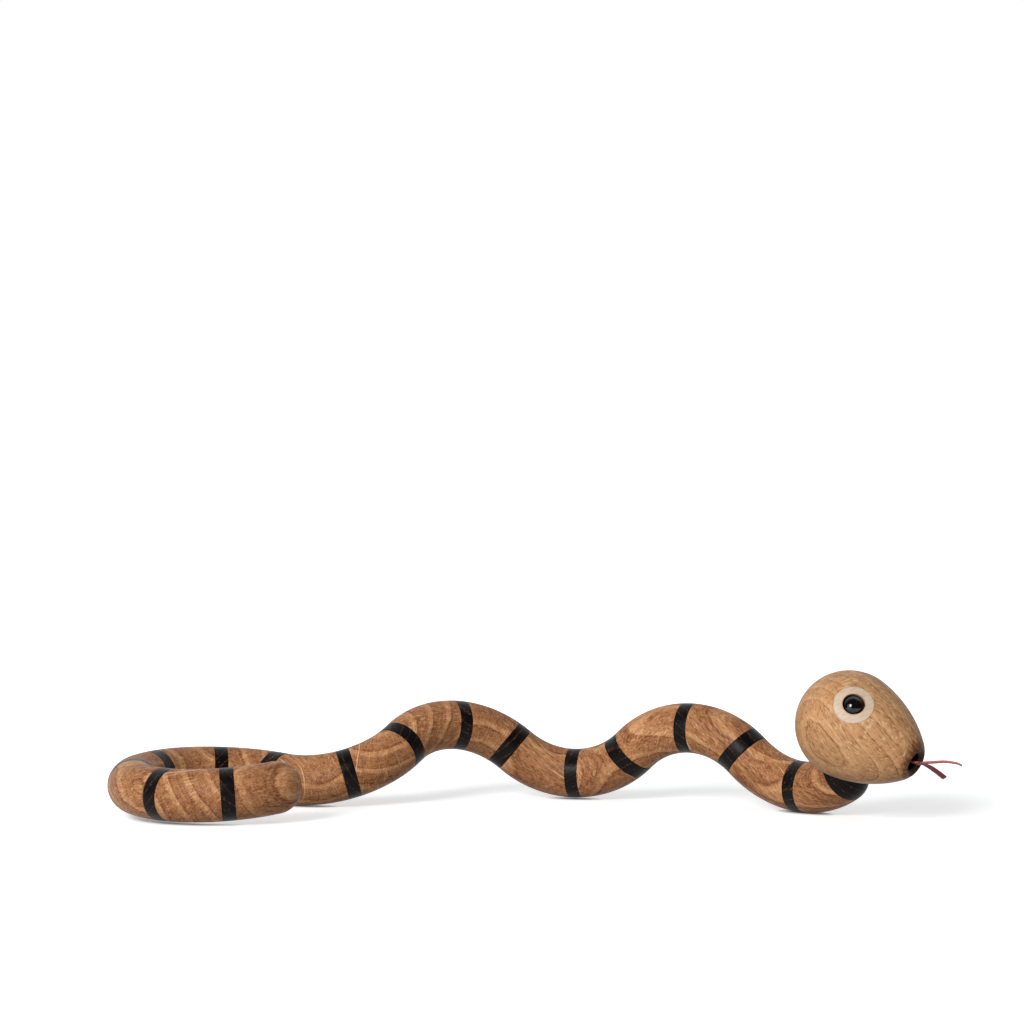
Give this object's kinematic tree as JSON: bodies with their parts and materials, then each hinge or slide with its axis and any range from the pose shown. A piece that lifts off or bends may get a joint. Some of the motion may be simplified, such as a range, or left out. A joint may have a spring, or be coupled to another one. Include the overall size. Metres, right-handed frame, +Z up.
{
  "type": "wooden snake toy",
  "caption": "Jointed wooden snake: curved oak segments with dark bands that swivel on hidden pins, an egg-shaped head with ringed eyes and a forked leather tongue.",
  "frame": {"origin": "on the table, under the middle of the ring that the tail end coils into", "axes": "+X to the head end, +Y away from the viewer of the picture, +Z up"},
  "size_m": [0.3908, 0.1416, 0.0687],
  "materials": {
    "body_oak": "oiled brown oak",
    "smoked_oak": "oiled smoked oak",
    "head_oak": "oiled honey oak",
    "ring_maple": "pale maple, satin",
    "pupil_black": "polished black",
    "tongue_leather": "red dyed leather with cut edges",
    "wedge_oak": "plain oak",
    "pin_steel": "plain steel",
    "washer_nylon": "plain nylon"
  },
  "bodies": {
    "segment_1": {"segment_1_rear": "body_oak", "segment_1_mid_band": "smoked_oak", "segment_1_front": "body_oak", "segment_1_joint_band": "smoked_oak", "friction_washer_1": "washer_nylon"},
    "segment_2": {"segment_2_rear": "body_oak", "segment_2_mid_band": "smoked_oak", "segment_2_front": "body_oak", "segment_2_joint_band": "smoked_oak", "friction_washer_2": "washer_nylon", "swivel_pin_1": "pin_steel"},
    "segment_3": {"segment_3_rear": "body_oak", "segment_3_mid_band": "smoked_oak", "segment_3_front": "body_oak", "segment_3_joint_band": "smoked_oak", "friction_washer_3": "washer_nylon", "swivel_pin_2": "pin_steel"},
    "segment_4": {"segment_4_rear": "body_oak", "segment_4_mid_band": "smoked_oak", "segment_4_front": "body_oak", "segment_4_joint_band": "smoked_oak", "friction_washer_4": "washer_nylon", "swivel_pin_3": "pin_steel"},
    "segment_5": {"segment_5_rear": "body_oak", "segment_5_mid_band": "smoked_oak", "segment_5_front": "body_oak", "segment_5_joint_band": "smoked_oak", "friction_washer_5": "washer_nylon", "swivel_pin_4": "pin_steel"},
    "segment_6": {"segment_6_rear": "body_oak", "segment_6_mid_band": "smoked_oak", "segment_6_front": "body_oak", "segment_6_joint_band": "smoked_oak", "friction_washer_6": "washer_nylon", "swivel_pin_5": "pin_steel"},
    "segment_7": {"segment_7_rear": "body_oak", "segment_7_mid_band": "smoked_oak", "segment_7_front": "body_oak", "segment_7_joint_band": "smoked_oak", "friction_washer_7": "washer_nylon", "swivel_pin_6": "pin_steel"},
    "segment_8": {"segment_8_rear": "body_oak", "segment_8_mid_band": "smoked_oak", "segment_8_front": "body_oak", "neck_ball": "smoked_oak", "friction_washer_8": "washer_nylon", "swivel_pin_7": "pin_steel"},
    "head": {"head": "head_oak", "swivel_pin_8": "pin_steel", "eye_ring_left": "ring_maple", "eye_ring_right": "ring_maple", "pupil_left": "pupil_black", "pupil_right": "pupil_black", "tongue": "tongue_leather", "tongue_wedge": "wedge_oak"}
  },
  "joints": [
    {"name": "swivel_1", "type": "hinge", "parent": "segment_2", "child": "segment_1", "pos_m": [-0.02648, -0.03528, 0.01303], "axis": [0.7965, -0.6041, -0.0258], "continuous": true},
    {"name": "swivel_2", "type": "hinge", "parent": "segment_3", "child": "segment_2", "pos_m": [-0.03626, 0.02443, 0.01584], "axis": [-0.5622, -0.826, -0.0415], "continuous": true},
    {"name": "swivel_3", "type": "hinge", "parent": "segment_4", "child": "segment_3", "pos_m": [0.0228, 0.03757, 0.01298], "axis": [-0.8524, 0.5112, 0.11], "range_deg": [-180, 120]},
    {"name": "swivel_4", "type": "hinge", "parent": "segment_4", "child": "segment_5", "pos_m": [0.08068, 0.04457, 0.02945], "axis": [0.5336, 0.6788, 0.5044], "continuous": true},
    {"name": "swivel_5", "type": "hinge", "parent": "segment_5", "child": "segment_6", "pos_m": [0.13479, 0.07114, 0.02355], "axis": [0.7625, -0.0426, -0.6456], "continuous": true},
    {"name": "swivel_6", "type": "hinge", "parent": "segment_6", "child": "segment_7", "pos_m": [0.19284, 0.0539, 0.02518], "axis": [0.6277, -0.3703, 0.6847], "range_deg": [-180, 90]},
    {"name": "swivel_7", "type": "hinge", "parent": "segment_7", "child": "segment_8", "pos_m": [0.24565, 0.02423, 0.02489], "axis": [0.6371, -0.3402, -0.6917], "continuous": true},
    {"name": "neck_swivel", "type": "hinge", "parent": "segment_8", "child": "head", "pos_m": [0.2869, -0.01182, 0.01847], "axis": [0.0331, -0.4841, 0.8744], "continuous": true}
  ]
}
